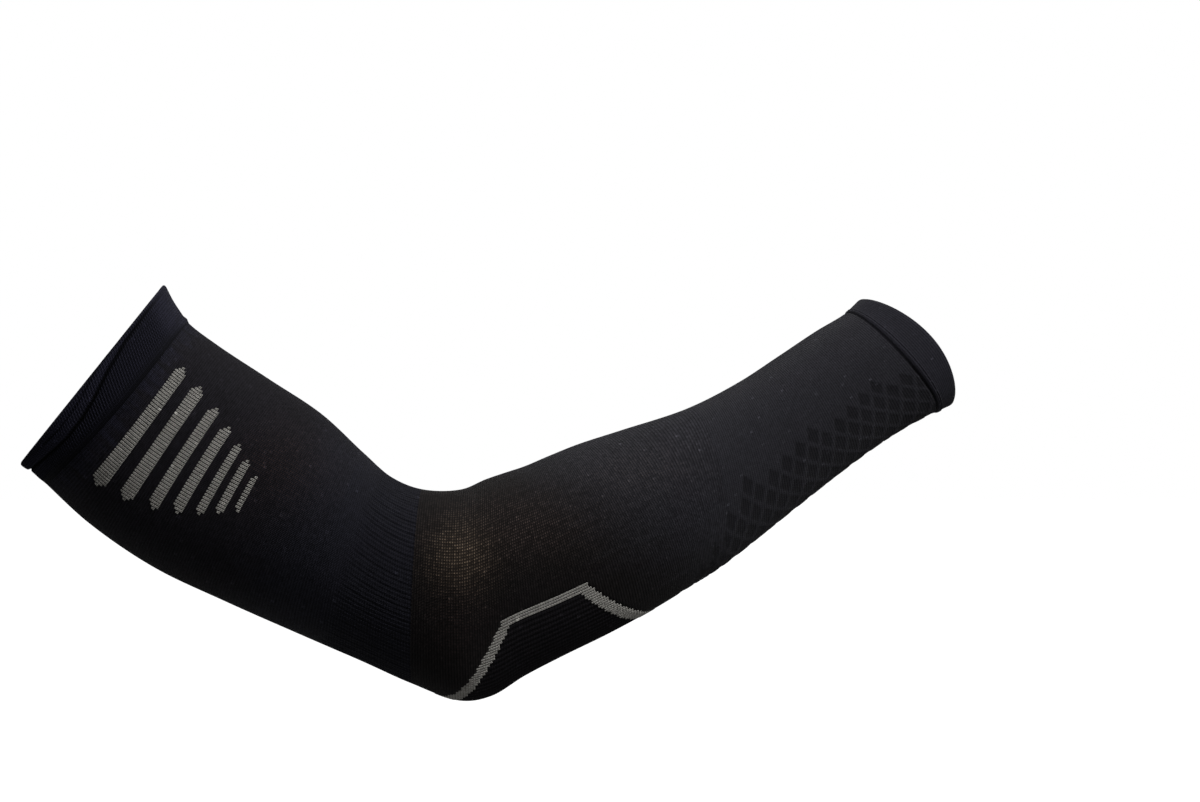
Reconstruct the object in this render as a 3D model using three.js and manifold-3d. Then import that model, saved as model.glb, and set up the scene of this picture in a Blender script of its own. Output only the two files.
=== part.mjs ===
// Arm compression sleeve, as worn on a bent arm with the elbow at the bottom.
// Millimetres, +X towards the wrist, +Y away from the outer side of the arm, +Z up.
// The origin is the centre of the biceps opening.

import * as THREE from 'three'
import { mergeVertices } from 'three/addons/utils/BufferGeometryUtils.js'
import Module from 'manifold-3d'

const wasm = await Module()
wasm.setup()

// Driving dimensions
const UPPER_LENGTH = 202 // biceps opening to the corner of the elbow, along the arm
const FORE_LENGTH = 252 // corner of the elbow to the wrist opening, along the arm
const BICEPS_WIDTH = 103 // front to back at the biceps opening
const ELBOW_WIDTH = 97 // crook to point of the elbow
const FOREARM_WIDTH = 85 // front to back, a third of the way down the forearm
const WRIST_WIDTH = 63 // thumb side to little finger side at the wrist cuff
const UPPER_DIP = 31.3 // degrees that the upper arm drops towards the elbow
const FORE_RISE = 30.3 // degrees that the forearm rises towards the wrist
const FORE_TURN = 15 // degrees that the forearm turns inwards, towards +Y
const KNIT_WALL = 1.2 // single layer of stretched knit
const CUFF_WALL = 2.2 // doubled, elastic cuff
const PAD_WALL = 1.8 // closer ribbed patch over the point of the elbow
const STRIPE_WIDTH = 5
const GAP = 0.3 // between neighbouring pieces

// Fineness of the facets
const SIDES = 40 // round a tube
const EDGE_STEPS = 9 // along each edge of the elbow patch

// A section lies square to the arm except near the elbow, where it swings upright.
// It does that over these shares of the two lengths.
const SWING = { upper: 0.64, fore: 0.44 }

// Sections from the biceps opening to the wrist opening
// at: distance from the corner of the elbow, as a share of the length of that part of the arm
// slant: how far the front lies nearer the wrist than the middle, and the back farther from it
// front, back, deep: arm's line to the front and back outline, and the depth through the arm
// lean: how far the outer side lies nearer the wrist, and the inner side farther from it
// bow: how far both sides lie nearer the wrist
// point: how much narrower the back half is than the front half, as a share of the depth
// All but at and point are shares of the named width in the last column.
const SECTION_COLUMNS = [
  'name', 'part', 'at', 'slant', 'front', 'back', 'deep', 'lean', 'bow', 'point', 'width'
]
const SECTIONS = [
  ['opening', 'upper', 1.0, 0.067, 0.562, 0.446, 0.94, 0.066, 0.0, 0.0, BICEPS_WIDTH],
  ['cuff_waist', 'upper', 0.962, 0.075, 0.512, 0.45, 0.94, 0.055, 0.01, 0.0, BICEPS_WIDTH],
  ['cuff_end', 'upper', 0.916, 0.08, 0.474, 0.468, 0.94, 0.04, 0.035, 0.0, BICEPS_WIDTH],
  ['triceps', 'upper', 0.81, 0.035, 0.456, 0.518, 0.95, 0.02, 0.02, 0.0, BICEPS_WIDTH],
  ['belly', 'upper', 0.65, 0.0, 0.446, 0.536, 0.95, 0.0, 0.0, 0.0, BICEPS_WIDTH],
  ['taper', 'upper', 0.49, 0.0, 0.436, 0.502, 0.94, 0.0, 0.0, 0.02, BICEPS_WIDTH],
  ['rib_start', 'upper', 0.325, 0.0, 0.397, 0.463, 0.95, 0.0, 0.0, 0.04, BICEPS_WIDTH],
  ['hollow', 'upper', 0.22, 0.0, 0.41, 0.474, 0.91, 0.0, 0.0, 0.06, ELBOW_WIDTH],
  ['mesh_start', 'upper', 0.118, 0.0, 0.459, 0.462, 0.88, 0.0, 0.0, 0.09, ELBOW_WIDTH],
  ['corner', 'fore', 0.0, 0.0, 0.585, 0.416, 0.87, 0.0, 0.0, 0.12, ELBOW_WIDTH],
  ['elbow_point', 'fore', 0.06, 0.0, 0.556, 0.474, 0.87, 0.0, 0.0, 0.13, ELBOW_WIDTH],
  ['behind_point', 'fore', 0.119, 0.0, 0.515, 0.457, 0.88, 0.0, 0.0, 0.11, ELBOW_WIDTH],
  ['brachialis', 'fore', 0.179, 0.0, 0.541, 0.516, 0.99, 0.0, 0.0, 0.08, FOREARM_WIDTH],
  ['full_fore', 'fore', 0.258, 0.0, 0.501, 0.523, 0.97, 0.0, 0.0, 0.06, FOREARM_WIDTH],
  ['patch_end', 'fore', 0.337, 0.0, 0.468, 0.527, 0.94, 0.0, 0.0, 0.04, FOREARM_WIDTH],
  ['thinning', 'fore', 0.417, 0.05, 0.412, 0.524, 0.89, 0.0, 0.0, 0.02, FOREARM_WIDTH],
  ['knit_start', 'fore', 0.516, 0.15, 0.33, 0.521, 0.8, 0.0, 0.0, 0.0, FOREARM_WIDTH],
  ['lower_fore', 'fore', 0.655, 0.1, 0.418, 0.627, 0.94, 0.0, 0.0, 0.0, WRIST_WIDTH],
  ['slim', 'fore', 0.774, 0.0, 0.434, 0.56, 0.86, 0.0, 0.0, 0.0, WRIST_WIDTH],
  ['wrist', 'fore', 0.88, -0.06, 0.453, 0.528, 0.78, 0.0, 0.0, 0.0, WRIST_WIDTH],
  ['fold', 'fore', 0.962, -0.11, 0.456, 0.543, 0.75, 0.0, -0.02, 0.0, WRIST_WIDTH],
  ['wrist_rim', 'fore', 1.0, -0.1, 0.49, 0.556, 0.77, 0.0, 0.105, 0.0, WRIST_WIDTH]
].map((row) => Object.fromEntries(row.map((value, i) => [SECTION_COLUMNS[i], value])))

// Tubes between two sections, with the number of steps along each
// lift: how far the outside stands proud of the sleeve's surface
const TUBE_COLUMNS = ['name', 'from', 'to', 'lift', 'wall', 'steps', 'colour', 'roughness']
const TUBES = [
  ['biceps_cuff', 'opening', 'cuff_end', 0.3, CUFF_WALL, 4, 0x17161c, 0.82],
  ['upper_arm_knit', 'cuff_end', 'rib_start', 0, KNIT_WALL, 9, 0x1c1b21, 0.85],
  ['elbow_rib_band', 'rib_start', 'mesh_start', 0, KNIT_WALL, 5, 0x191820, 0.85],
  ['elbow_mesh', 'mesh_start', 'knit_start', 0, KNIT_WALL, 15, 0x211d1c, 0.8],
  ['forearm_knit', 'knit_start', 'fold', 0, KNIT_WALL, 9, 0x232329, 0.82],
  ['wrist_cuff', 'fold', 'wrist_rim', 0.6, CUFF_WALL, 3, 0x25242b, 0.78]
].map((row) => Object.fromEntries(row.map((value, i) => [TUBE_COLUMNS[i], value])))

// Corners of the stripe's outer edge, one side of the back line
// at: from the corner of the elbow, as a share of the forearm's length
// round: from the back line, as a share of half the girth
const PATCH_CORNERS = [
  { at: -0.054, round: 0 },
  { at: 0.087, round: 0.403 },
  { at: 0.23, round: 0.396 },
  { at: 0.334, round: 0 }
]
const HALF_GIRTH = Math.PI * ELBOW_WIDTH * 0.465 // half way round the sleeve at the elbow

const DEGREE = Math.PI / 180
const LENGTHS = { upper: -UPPER_LENGTH, fore: FORE_LENGTH }
const dip = UPPER_DIP * DEGREE
const rise = FORE_RISE * DEGREE
const turn = FORE_TURN * DEGREE
const upperLine = new THREE.Vector3(Math.cos(dip), 0, -Math.sin(dip))
const foreLine = new THREE.Vector3(
  Math.cos(turn) * Math.cos(rise), Math.sin(turn), Math.cos(turn) * Math.sin(rise)
)

// Four outline points of one section: front, outer side, back, inner side
function sectionPoints(row) {
  const station = row.at * LENGTHS[row.part]
  const line = row.part === 'upper' ? upperLine : foreLine
  const swing = SWING[row.part] * Math.abs(LENGTHS[row.part])
  const square = THREE.MathUtils.smoothstep(Math.abs(station), 0, swing)
  const tilt = row.part === 'upper' ? dip * square : -rise * square
  const yaw = row.part === 'upper' ? 0 : turn * square
  const up = new THREE.Vector3(Math.sin(tilt), 0, Math.cos(tilt))
  const ahead = new THREE.Vector3(Math.cos(tilt), 0, -Math.sin(tilt))
  const inwards = new THREE.Vector3(0, Math.cos(yaw), 0).addScaledVector(ahead, -Math.sin(yaw))
  const onLine = (shift) => line.clone().multiplyScalar(station + shift * row.width)
  const front = onLine(row.slant).addScaledVector(up, row.front * row.width)
  const back = onLine(-row.slant).addScaledVector(up, -row.back * row.width)
  const middle = front.clone().add(back).multiplyScalar(0.5)
  const side = (sign) => middle.clone()
    .addScaledVector(inwards, (-sign * row.deep * row.width) / 2)
    .addScaledVector(line, (row.bow + sign * row.lean) * row.width)
  return { front, outer: side(1), back, inner: side(-1) }
}

const sections = SECTIONS.map(sectionPoints)
const opening = sections[0].front.clone().add(sections[0].back).multiplyScalar(0.5)
const outline = (name) => new THREE.CatmullRomCurve3(
  sections.map((points) => points[name].sub(opening)), false, 'centripetal'
)
const outlines = {
  front: outline('front'), outer: outline('outer'), back: outline('back'), inner: outline('inner')
}
const stations = SECTIONS.map((row) => row.at * LENGTHS[row.part])
const stationOf = Object.fromEntries(SECTIONS.map((row, i) => [row.name, stations[i]]))

// Place in the table of sections, as a number of rows, of a station along the sleeve
function rowAt(station) {
  let i = 0
  while (i < stations.length - 2 && stations[i + 1] < station) i += 1
  return i + (station - stations[i]) / (stations[i + 1] - stations[i])
}

// Point of the sleeve's outside, angle 0 at the back, a quarter turn at the outer side
function onSurface(station, angle) {
  const place = THREE.MathUtils.clamp(rowAt(station), 0, stations.length - 1)
  const share = place / (stations.length - 1)
  const [front, outer, back, inner] = ['front', 'outer', 'back', 'inner']
    .map((name) => outlines[name].getPoint(share))
  const i = Math.min(Math.floor(place), stations.length - 2)
  const point = THREE.MathUtils.lerp(SECTIONS[i].point, SECTIONS[i + 1].point, place - i)
  const middle = front.clone().add(back).multiplyScalar(0.5)
  const halfWidth = front.clone().sub(back).multiplyScalar(0.5)
  const halfDepth = outer.clone().sub(inner).multiplyScalar(0.5)
  const bow = outer.clone().add(inner).multiplyScalar(0.5).sub(middle)
  const sine = Math.sin(angle)
  const cosine = Math.cos(angle)
  return middle
    .addScaledVector(halfWidth, -cosine)
    .addScaledVector(halfDepth, sine * (1 - point * cosine))
    .addScaledVector(bow, sine * sine)
}

// Outward normal of the sleeve's outside, from points a short step apart
const STEP = 0.5
function normalAt(station, angle) {
  const start = Math.max(station - STEP, stations[0])
  const end = Math.min(station + STEP, stations[stations.length - 1])
  const turnStep = STEP / ELBOW_WIDTH
  const along = onSurface(end, angle).sub(onSurface(start, angle))
  const round = onSurface(station, angle + turnStep).sub(onSurface(station, angle - turnStep))
  return along.cross(round).normalize()
}

function raised(station, angle, lift) {
  return onSurface(station, angle).addScaledVector(normalAt(station, angle), lift)
}

// Station that lies a given distance along the surface from another
function shifted(station, angle, distance) {
  if (distance === 0) return station
  const step = distance > 0 ? STEP : -STEP
  const speed = onSurface(station + step, angle).distanceTo(onSurface(station, angle)) / STEP
  return station + distance / speed
}

// Closed shell from a grid of places that closes round in its second direction.
// The outside lies at lift, and the inside a wall below it.
function shell(rows, columns, placeAt, lift, wall) {
  const positions = []
  for (const height of [lift, lift - wall]) {
    for (let i = 0; i <= rows; i++) {
      for (let j = 0; j < columns; j++) {
        const { station, angle } = placeAt(i, j)
        positions.push(...raised(station, angle, height))
      }
    }
  }
  const outside = (i, j) => i * columns + (j % columns)
  const inside = (i, j) => (rows + 1) * columns + outside(i, j)
  const triangles = []
  const quad = (a, b, c, d) => triangles.push(a, b, c, a, c, d)
  for (let j = 0; j < columns; j++) {
    for (let i = 0; i < rows; i++) {
      quad(outside(i, j), outside(i + 1, j), outside(i + 1, j + 1), outside(i, j + 1))
      quad(inside(i, j), inside(i, j + 1), inside(i + 1, j + 1), inside(i + 1, j))
    }
    quad(outside(0, j), outside(0, j + 1), inside(0, j + 1), inside(0, j))
    quad(outside(rows, j), inside(rows, j), inside(rows, j + 1), outside(rows, j + 1))
  }
  const geometry = new THREE.BufferGeometry()
  geometry.setAttribute('position', new THREE.Float32BufferAttribute(positions, 3))
  geometry.setIndex(triangles)
  return withoutSlivers(mergeVertices(geometry, 1e-4))
}

// Drops the triangles that merged corners have flattened to a line
function withoutSlivers(geometry) {
  const index = geometry.getIndex().array
  const kept = []
  for (let i = 0; i < index.length; i += 3) {
    const [a, b, c] = index.slice(i, i + 3)
    if (a !== b && b !== c && c !== a) kept.push(a, b, c)
  }
  geometry.setIndex(kept)
  return geometry
}

function tubeGeometry({ from, to, lift, wall, steps }) {
  const first = stationOf[from] === stations[0] ? 0 : GAP / 2
  const last = stationOf[to] === stations[stations.length - 1] ? 0 : -GAP / 2
  return shell(steps, SIDES, (i, j) => {
    const angle = (2 * Math.PI * j) / SIDES
    const start = shifted(stationOf[from], angle, first)
    const end = shifted(stationOf[to], angle, last)
    return { station: THREE.MathUtils.lerp(start, end, i / steps), angle }
  }, lift, wall)
}

// The patch is laid out flat, x along the sleeve and y round it from the back line.
const upperSide = PATCH_CORNERS.map(({ at, round }) => new THREE.Vector2(
  at * FORE_LENGTH, round * HALF_GIRTH
))
const lowerSide = upperSide.slice(1, -1).map((corner) => new THREE.Vector2(corner.x, -corner.y))
const patchOutline = [upperSide[0], ...lowerSide, ...upperSide.slice(1).reverse()]

// Moves every edge of the outline inwards by a distance
function inset(distance) {
  const outward = patchOutline.map((corner, i) => {
    const edge = patchOutline[(i + 1) % patchOutline.length].clone().sub(corner).normalize()
    return new THREE.Vector2(edge.y, -edge.x)
  })
  return patchOutline.map((corner, i) => {
    const before = outward.at(i - 1)
    const sum = before.clone().add(outward[i])
    return corner.clone().addScaledVector(sum, -distance / (1 + before.dot(outward[i])))
  })
}

// Points along a closed outline, the same number on each edge
function alongOutline(corners) {
  return corners.flatMap((corner, i) => Array.from({ length: EDGE_STEPS }, (_, k) => (
    corner.clone().lerp(corners[(i + 1) % corners.length], k / EDGE_STEPS)
  )))
}

function onSleeve(flat) {
  return { station: flat.x, angle: (Math.PI * flat.y) / HALF_GIRTH }
}

// Rings of places from the middle of the patch out to its edge
const PATCH_RINGS = 6
function patchGeometry(distance, lift, wall) {
  const edge = alongOutline(inset(distance))
  const middle = upperSide[0].clone().lerp(upperSide.at(-1), 0.5)
  return shell(PATCH_RINGS, edge.length, (i, j) => (
    onSleeve(middle.clone().lerp(edge[j % edge.length], i / PATCH_RINGS))
  ), lift, wall)
}

function stripeGeometry() {
  const innerEdge = alongOutline(inset(STRIPE_WIDTH))
  const outerEdge = alongOutline(inset(0))
  return shell(1, outerEdge.length, (i, j) => (
    onSleeve((i === 0 ? innerEdge : outerEdge)[j % outerEdge.length])
  ), 0, KNIT_WALL)
}

function toSolid(geometry) {
  return new wasm.Manifold(new wasm.Mesh({
    numProp: 3,
    vertProperties: geometry.getAttribute('position').array,
    triVerts: Uint32Array.from(geometry.getIndex().array)
  }))
}

function toGeometry(solid) {
  const { vertProperties, triVerts } = solid.getMesh()
  const geometry = new THREE.BufferGeometry()
  geometry.setAttribute('position', new THREE.BufferAttribute(vertProperties, 3))
  geometry.setIndex(new THREE.BufferAttribute(triVerts, 1))
  return geometry
}

// The mesh tube leaves room for the stripe and the patch that it frames.
const CUTTER_REACH = 3 * KNIT_WALL
function withWindow(geometry) {
  const cutter = patchGeometry(-GAP, CUTTER_REACH, 2 * CUTTER_REACH)
  return toGeometry(toSolid(geometry).subtract(toSolid(cutter)))
}

const sleeve = new THREE.Group()

function addPiece(name, geometry, color, roughness) {
  geometry.computeVertexNormals()
  const material = new THREE.MeshStandardMaterial({ color, roughness, metalness: 0 })
  const mesh = new THREE.Mesh(geometry, material)
  mesh.name = name
  sleeve.add(mesh)
}

for (const tube of TUBES) {
  const whole = tubeGeometry(tube)
  const geometry = tube.name === 'elbow_mesh' ? withWindow(whole) : whole
  addPiece(tube.name, geometry, tube.colour, tube.roughness)
}
addPiece('elbow_pad', patchGeometry(STRIPE_WIDTH + GAP, 0, PAD_WALL), 0x121113, 0.9)
addPiece('elbow_stripe', stripeGeometry(), 0x75736d, 0.8)

export default sleeve
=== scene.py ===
# %% [markdown]
# # An arm compression sleeve
# The sleeve is one knitted tube, bent at the elbow. Its zones are knitted in different ways:
# ribs, plain knit, open mesh and a close patch. We load the imported model first, because its
# pieces fix where every zone starts and ends.

# %% Load the imported model
import math

import bpy
import numpy as np
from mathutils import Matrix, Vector


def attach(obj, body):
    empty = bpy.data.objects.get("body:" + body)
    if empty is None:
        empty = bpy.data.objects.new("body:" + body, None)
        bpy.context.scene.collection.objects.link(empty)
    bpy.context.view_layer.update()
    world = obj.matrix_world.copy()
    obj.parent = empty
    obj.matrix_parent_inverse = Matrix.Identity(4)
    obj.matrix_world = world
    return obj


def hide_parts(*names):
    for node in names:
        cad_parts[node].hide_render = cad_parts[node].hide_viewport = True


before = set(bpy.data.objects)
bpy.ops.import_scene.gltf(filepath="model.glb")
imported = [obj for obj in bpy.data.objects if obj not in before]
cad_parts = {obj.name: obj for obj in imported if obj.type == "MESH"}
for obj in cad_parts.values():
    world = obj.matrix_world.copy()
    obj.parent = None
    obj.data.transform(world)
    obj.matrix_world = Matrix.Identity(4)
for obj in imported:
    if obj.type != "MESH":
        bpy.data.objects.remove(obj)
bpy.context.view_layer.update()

print("packed nodes:", ", ".join(sorted(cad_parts)))

# %% [markdown]
# ## The sleeve's surface
# A worn sleeve is full and narrow in turns. We describe its shape by sections: each row of the
# table gives the front, back and depth of the tube at one place along it, as shares of a width
# that can be measured. Four smooth lines then run through the sections' outline points, and a
# rounded section is spread between them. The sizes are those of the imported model, in metres.
#
# The table's columns: at is the distance from the corner of the elbow, as a share of the length
# of that part of the sleeve. Slant says how far the front lies nearer the wrist than the middle.
# Front and back reach from the part's line to the outline, and deep is the whole depth. Lean and
# bow move the sides towards the wrist, one or both. Point narrows the back half. Apart from at
# and point, all are shares of the width in the last column.

# %% Sizes of the sleeve
MM = 0.001
UPPER_LENGTH = 202 * MM
FORE_LENGTH = 252 * MM
BICEPS_WIDTH = 103 * MM
ELBOW_WIDTH = 97 * MM
FOREARM_WIDTH = 85 * MM
WRIST_WIDTH = 63 * MM
UPPER_DIP = math.radians(31.3)
FORE_RISE = math.radians(30.3)
FORE_TURN = math.radians(15)
KNIT_WALL = 1.2 * MM
CUFF_WALL = 2.2 * MM
PAD_WALL = 1.8 * MM
STRIPE_WIDTH = 5 * MM
LENGTHS = {"upper": -UPPER_LENGTH, "fore": FORE_LENGTH}
# A section lies square to the sleeve except near the elbow, where it swings upright.
# It does that over these shares of the two lengths.
SWING = {"upper": 0.64, "fore": 0.44}

COLUMNS = "name part at slant front back deep lean bow point width".split()
SECTIONS = [dict(zip(COLUMNS, row)) for row in [
    ("opening", "upper", 1.0, 0.067, 0.562, 0.446, 0.94, 0.066, 0.0, 0.0, BICEPS_WIDTH),
    ("cuff_waist", "upper", 0.962, 0.075, 0.512, 0.45, 0.94, 0.055, 0.01, 0.0, BICEPS_WIDTH),
    ("cuff_end", "upper", 0.916, 0.08, 0.474, 0.468, 0.94, 0.04, 0.035, 0.0, BICEPS_WIDTH),
    ("triceps", "upper", 0.81, 0.035, 0.456, 0.518, 0.95, 0.02, 0.02, 0.0, BICEPS_WIDTH),
    ("belly", "upper", 0.65, 0.0, 0.446, 0.536, 0.95, 0.0, 0.0, 0.0, BICEPS_WIDTH),
    ("taper", "upper", 0.49, 0.0, 0.436, 0.502, 0.94, 0.0, 0.0, 0.02, BICEPS_WIDTH),
    ("rib_start", "upper", 0.325, 0.0, 0.397, 0.463, 0.95, 0.0, 0.0, 0.04, BICEPS_WIDTH),
    ("hollow", "upper", 0.22, 0.0, 0.41, 0.474, 0.91, 0.0, 0.0, 0.06, ELBOW_WIDTH),
    ("mesh_start", "upper", 0.118, 0.0, 0.459, 0.462, 0.88, 0.0, 0.0, 0.09, ELBOW_WIDTH),
    ("corner", "fore", 0.0, 0.0, 0.585, 0.416, 0.87, 0.0, 0.0, 0.12, ELBOW_WIDTH),
    ("elbow_point", "fore", 0.06, 0.0, 0.556, 0.474, 0.87, 0.0, 0.0, 0.13, ELBOW_WIDTH),
    ("behind_point", "fore", 0.119, 0.0, 0.515, 0.457, 0.88, 0.0, 0.0, 0.11, ELBOW_WIDTH),
    ("brachialis", "fore", 0.179, 0.0, 0.541, 0.516, 0.99, 0.0, 0.0, 0.08, FOREARM_WIDTH),
    ("full_fore", "fore", 0.258, 0.0, 0.501, 0.523, 0.97, 0.0, 0.0, 0.06, FOREARM_WIDTH),
    ("patch_end", "fore", 0.337, 0.0, 0.468, 0.527, 0.94, 0.0, 0.0, 0.04, FOREARM_WIDTH),
    ("thinning", "fore", 0.417, 0.05, 0.412, 0.524, 0.89, 0.0, 0.0, 0.02, FOREARM_WIDTH),
    ("knit_start", "fore", 0.516, 0.15, 0.33, 0.521, 0.8, 0.0, 0.0, 0.0, FOREARM_WIDTH),
    ("lower_fore", "fore", 0.655, 0.1, 0.418, 0.627, 0.94, 0.0, 0.0, 0.0, WRIST_WIDTH),
    ("slim", "fore", 0.774, 0.0, 0.434, 0.56, 0.86, 0.0, 0.0, 0.0, WRIST_WIDTH),
    ("wrist", "fore", 0.88, -0.06, 0.453, 0.528, 0.78, 0.0, 0.0, 0.0, WRIST_WIDTH),
    ("fold", "fore", 0.962, -0.11, 0.456, 0.543, 0.75, 0.0, -0.02, 0.0, WRIST_WIDTH),
    ("wrist_rim", "fore", 1.0, -0.1, 0.49, 0.556, 0.77, 0.0, 0.105, 0.0, WRIST_WIDTH),
]]
STATIONS = np.array([row["at"] * LENGTHS[row["part"]] for row in SECTIONS])
STATION = dict(zip((row["name"] for row in SECTIONS), STATIONS))
print("sections:", len(SECTIONS), "from", STATIONS[0], "to", STATIONS[-1])


# %% The outline points of a section
LINES = {
    "upper": np.array([math.cos(UPPER_DIP), 0, -math.sin(UPPER_DIP)]),
    "fore": np.array([
        math.cos(FORE_TURN) * math.cos(FORE_RISE),
        math.sin(FORE_TURN),
        math.cos(FORE_TURN) * math.sin(FORE_RISE),
    ]),
}


def smoothstep(share):
    share = np.clip(share, 0, 1)
    return share * share * (3 - 2 * share)


def section_points(row):
    """Front, outer side, back and inner side of one section."""
    part, width = row["part"], row["width"]
    station, line = row["at"] * LENGTHS[part], LINES[part]
    square = smoothstep(abs(station) / (SWING[part] * abs(LENGTHS[part])))
    tilt = UPPER_DIP * square if part == "upper" else -FORE_RISE * square
    yaw = 0 if part == "upper" else FORE_TURN * square
    up = np.array([math.sin(tilt), 0, math.cos(tilt)])
    ahead = np.array([math.cos(tilt), 0, -math.sin(tilt)])
    inwards = np.array([0, math.cos(yaw), 0]) - math.sin(yaw) * ahead
    front = line * (station + row["slant"] * width) + up * row["front"] * width
    back = line * (station - row["slant"] * width) - up * row["back"] * width
    middle = (front + back) / 2
    sides = [
        middle - sign * inwards * row["deep"] * width / 2
        + line * (row["bow"] + sign * row["lean"]) * width
        for sign in (1, -1)
    ]
    return [front, sides[0], back, sides[1]]


OUTLINES = np.array([section_points(row) for row in SECTIONS])
OUTLINES = OUTLINES - (OUTLINES[0, 0] + OUTLINES[0, 2]) / 2
print("biceps opening is centred at the origin")

# %% [markdown]
# A line through the points that neither overshoots nor kinks is a centripetal Catmull-Rom
# curve. Between two sections it is a cubic, so we work out the cubics once and can then find
# a hundred thousand points of the sleeve in one go.


# %% Smooth lines through the sections
def line_cubics(points):
    """Coefficients of the cubic of each stretch between neighbouring points."""
    before = 2 * points[0] - points[1]
    after = 2 * points[-1] - points[-2]
    padded = np.concatenate([[before], points, [after]])
    knots = np.linalg.norm(np.diff(padded, axis=0), axis=1, keepdims=True) ** 0.5
    p0, p1, p2, p3 = padded[:-3], padded[1:-2], padded[2:-1], padded[3:]
    d0, d1, d2 = knots[:-2], knots[1:-1], knots[2:]
    start = ((p1 - p0) / d0 - (p2 - p0) / (d0 + d1) + (p2 - p1) / d1) * d1
    end = ((p2 - p1) / d1 - (p3 - p1) / (d1 + d2) + (p3 - p2) / d2) * d1
    return np.stack([p1, start, 3 * (p2 - p1) - 2 * start - end, 2 * (p1 - p2) + start + end])


CUBICS = np.stack([line_cubics(OUTLINES[:, k]) for k in range(4)], axis=2)
POINTED = np.array([row["point"] for row in SECTIONS])


def on_sleeve(station, angle):
    """Points of the sleeve's outside. Angle 0 is the back, a quarter turn the outer side."""
    station, angle = np.broadcast_arrays(station, angle)
    place = np.interp(station, STATIONS, np.arange(len(STATIONS)))
    i = np.minimum(place.astype(int), len(STATIONS) - 2)
    w = (place - i)[..., None, None]
    c = CUBICS[:, i]
    front, outer, back, inner = np.moveaxis(c[0] + w * (c[1] + w * (c[2] + w * c[3])), -2, 0)
    point = (POINTED[i] + (POINTED[i + 1] - POINTED[i]) * (place - i))[..., None]
    middle = (front + back) / 2
    sine, cosine = np.sin(angle)[..., None], np.cos(angle)[..., None]
    return (
        middle - (front - back) / 2 * cosine
        + (outer - inner) / 2 * sine * (1 - point * cosine)
        + ((outer + inner) / 2 - middle) * sine ** 2
    )


NORMAL_STEP = 0.5 * MM


def outward(station, angle):
    """Unit normals of the sleeve's outside."""
    turn = NORMAL_STEP / ELBOW_WIDTH
    start = np.maximum(station - NORMAL_STEP, STATIONS[0])
    end = np.minimum(station + NORMAL_STEP, STATIONS[-1])
    along = on_sleeve(end, angle) - on_sleeve(start, angle)
    across = on_sleeve(station, angle + turn) - on_sleeve(station, angle - turn)
    normal = np.cross(along, across)
    return normal / np.linalg.norm(normal, axis=-1, keepdims=True)


print("point of the elbow:", on_sleeve(STATION["elbow_point"], 0.0).round(4))

# %% [markdown]
# ## Wales and courses
# A knitted tube has columns of stitches, called wales, that run its whole length, and rows,
# called courses, that run round it. The count of wales stays the same from biceps to wrist, so
# the stitches are wider where the tube is wide. Every pattern on the sleeve follows them, so
# we give each point of the surface its place as wale and course.

# %% Tables from stitches to places on the sleeve
WALES = 200
COURSE_PITCH = 1.2 * MM
GRID_ROWS = 500
GRID_TURNS = 360
station_grid = np.linspace(STATIONS[0], STATIONS[-1], GRID_ROWS)
angle_grid = np.linspace(0, 2 * math.pi, GRID_TURNS + 1)
share_grid = angle_grid / (2 * math.pi)
grid_points = on_sleeve(station_grid[:, None], angle_grid[None, :])
round_steps = np.linalg.norm(np.diff(grid_points, axis=1), axis=2)
round_length = np.concatenate([np.zeros((GRID_ROWS, 1)), np.cumsum(round_steps, axis=1)], axis=1)
GIRTH = round_length[:, -1]
ANGLE_OF_SHARE = np.stack([
    np.interp(share_grid, row / row[-1], angle_grid) for row in round_length
])
side_points = grid_points[:, GRID_TURNS // 4]
COURSE_OF_STATION = np.concatenate(
    [[0], np.cumsum(np.linalg.norm(np.diff(side_points, axis=0), axis=1))]
) / COURSE_PITCH


def angle_at(station, share):
    """The angle that lies a share of the girth round from the back line."""
    place = np.interp(station, station_grid, np.arange(GRID_ROWS))
    i = np.minimum(place.astype(int), GRID_ROWS - 2)
    turn = share % 1 * GRID_TURNS
    j = np.minimum(turn.astype(int), GRID_TURNS - 1)
    u, v = place - i, turn - j
    low = ANGLE_OF_SHARE[i, j] * (1 - v) + ANGLE_OF_SHARE[i, j + 1] * v
    high = ANGLE_OF_SHARE[i + 1, j] * (1 - v) + ANGLE_OF_SHARE[i + 1, j + 1] * v
    return low * (1 - u) + high * u


def course_at(station):
    return np.interp(station, station_grid, COURSE_OF_STATION)


def station_at(course):
    return np.interp(course, COURSE_OF_STATION, station_grid)


def whole_course(name):
    """The whole course nearest to a named section, where one zone of the knit meets the next."""
    return round(float(course_at(STATION[name])))


def girth_at(station):
    return np.interp(station, station_grid, GIRTH)


def knit_point(station, share, height):
    """Points a height above the sleeve's outside, by station and share of the girth."""
    angle = angle_at(station, share)
    height = np.asarray(height)[..., None]
    return on_sleeve(station, angle) + outward(station, angle) * height


print("courses:", round(float(COURSE_OF_STATION[-1])), "wales:", WALES)
print("girths in mm:", (GIRTH[[0, GRID_ROWS // 2, -1]] / MM).round())


# %% [markdown]
# ## Turning grids into meshes
# Every zone is a closed shell: an outside with its ribs or relief, and a plain inside. Two
# helpers are enough. One makes a tube from a loop of rows, outside and inside, that closes on
# itself. The other makes a shell over any set of stitches, with steps at its edge, which is
# how a colour change looks in knitting.
#
# Where two zones meet, the shading has to run on as if they were one cloth. The walls between
# outside and inside would spoil it, because a smooth shade blends over a whole row of faces.
# So the walls are flat, and a ring of points lies very close to each end.

# %% Write a mesh with its stitch places
STITCH_MAP = "wale and course"
CAVITY_SHADE = "cavity_shade"
QUAD = 4


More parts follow.
